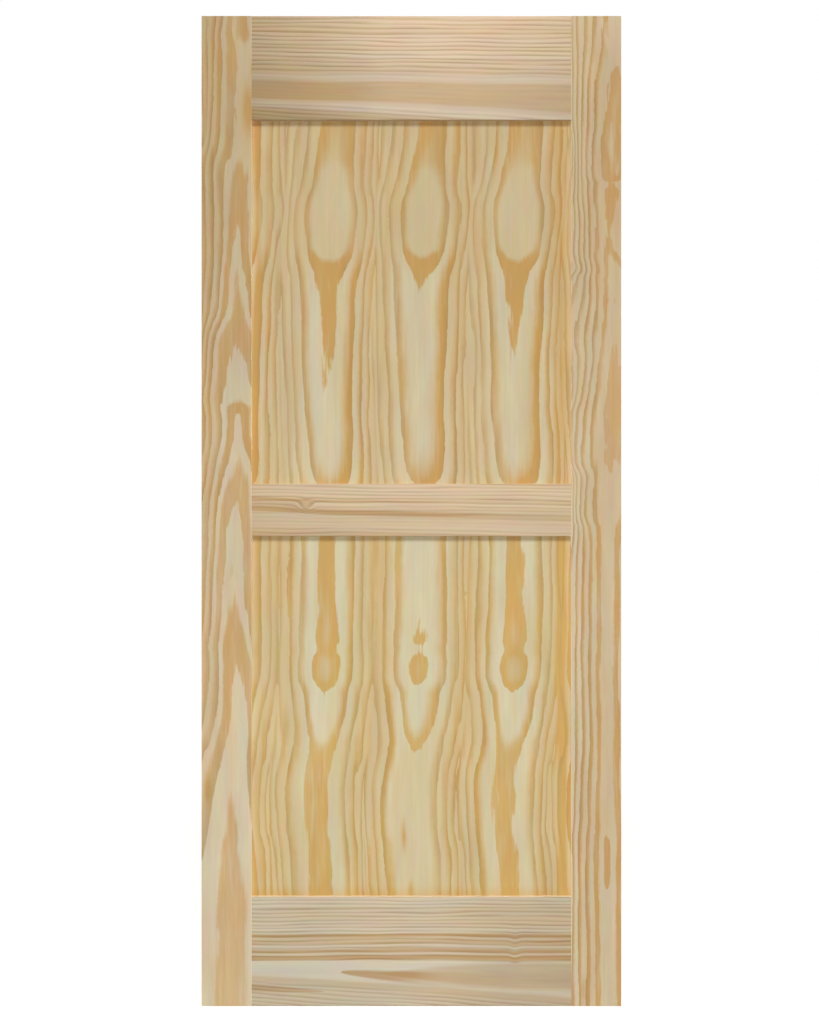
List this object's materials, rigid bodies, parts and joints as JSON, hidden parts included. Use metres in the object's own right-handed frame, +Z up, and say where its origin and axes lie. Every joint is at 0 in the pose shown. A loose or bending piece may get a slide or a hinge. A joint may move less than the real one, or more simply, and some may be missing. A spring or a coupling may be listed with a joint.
{
  "type": "barn door slab",
  "caption": "Shaker barn door slab in unfinished clear pine: stiles and rails round flat recessed panels, with a floor-guide groove along the bottom edge.",
  "frame": {"origin": "middle of the bottom edge, halfway through the slab's thickness", "axes": "+Z up along the stiles, +X across the slab to the right seen from the front, front face towards -Y"},
  "size_m": [0.905, 0.0348, 2.1336],
  "materials": {
    "pine_face": "sanded bare pine veneer of the stiles and rails",
    "panel_veneer": "sanded bare pine veneer of the panels, rotary cut",
    "pine_band": "planed solid pine",
    "pine_core": "finger-jointed pine core stock",
    "fibreboard": "fibreboard panel core",
    "dowel_hardwood": "fluted birch dowel"
  },
  "bodies": {
    "root": {"bottom_rail_back_veneer": "pine_face", "bottom_rail_core": "pine_core", "bottom_rail_dowels": "dowel_hardwood", "bottom_rail_front_veneer": "pine_face", "bottom_rail_lower_band": "pine_band", "bottom_rail_upper_band": "pine_band", "left_stile_back_veneer": "pine_face", "left_stile_core": "pine_core", "left_stile_front_veneer": "pine_face", "left_stile_inner_band": "pine_band", "left_stile_outer_band": "pine_band", "lower_panel_back_veneer": "panel_veneer", "lower_panel_core": "fibreboard", "lower_panel_front_veneer": "panel_veneer", "mid_rail_back_veneer": "pine_face", "mid_rail_core": "pine_core", "mid_rail_dowels": "dowel_hardwood", "mid_rail_front_veneer": "pine_face", "mid_rail_lower_band": "pine_band", "mid_rail_upper_band": "pine_band", "right_stile_back_veneer": "pine_face", "right_stile_core": "pine_core", "right_stile_front_veneer": "pine_face", "right_stile_inner_band": "pine_band", "right_stile_outer_band": "pine_band", "top_rail_back_veneer": "pine_face", "top_rail_core": "pine_core", "top_rail_dowels": "dowel_hardwood", "top_rail_front_veneer": "pine_face", "top_rail_lower_band": "pine_band", "top_rail_upper_band": "pine_band", "upper_panel_back_veneer": "panel_veneer", "upper_panel_core": "fibreboard", "upper_panel_front_veneer": "panel_veneer"}
  },
  "joints": []
}
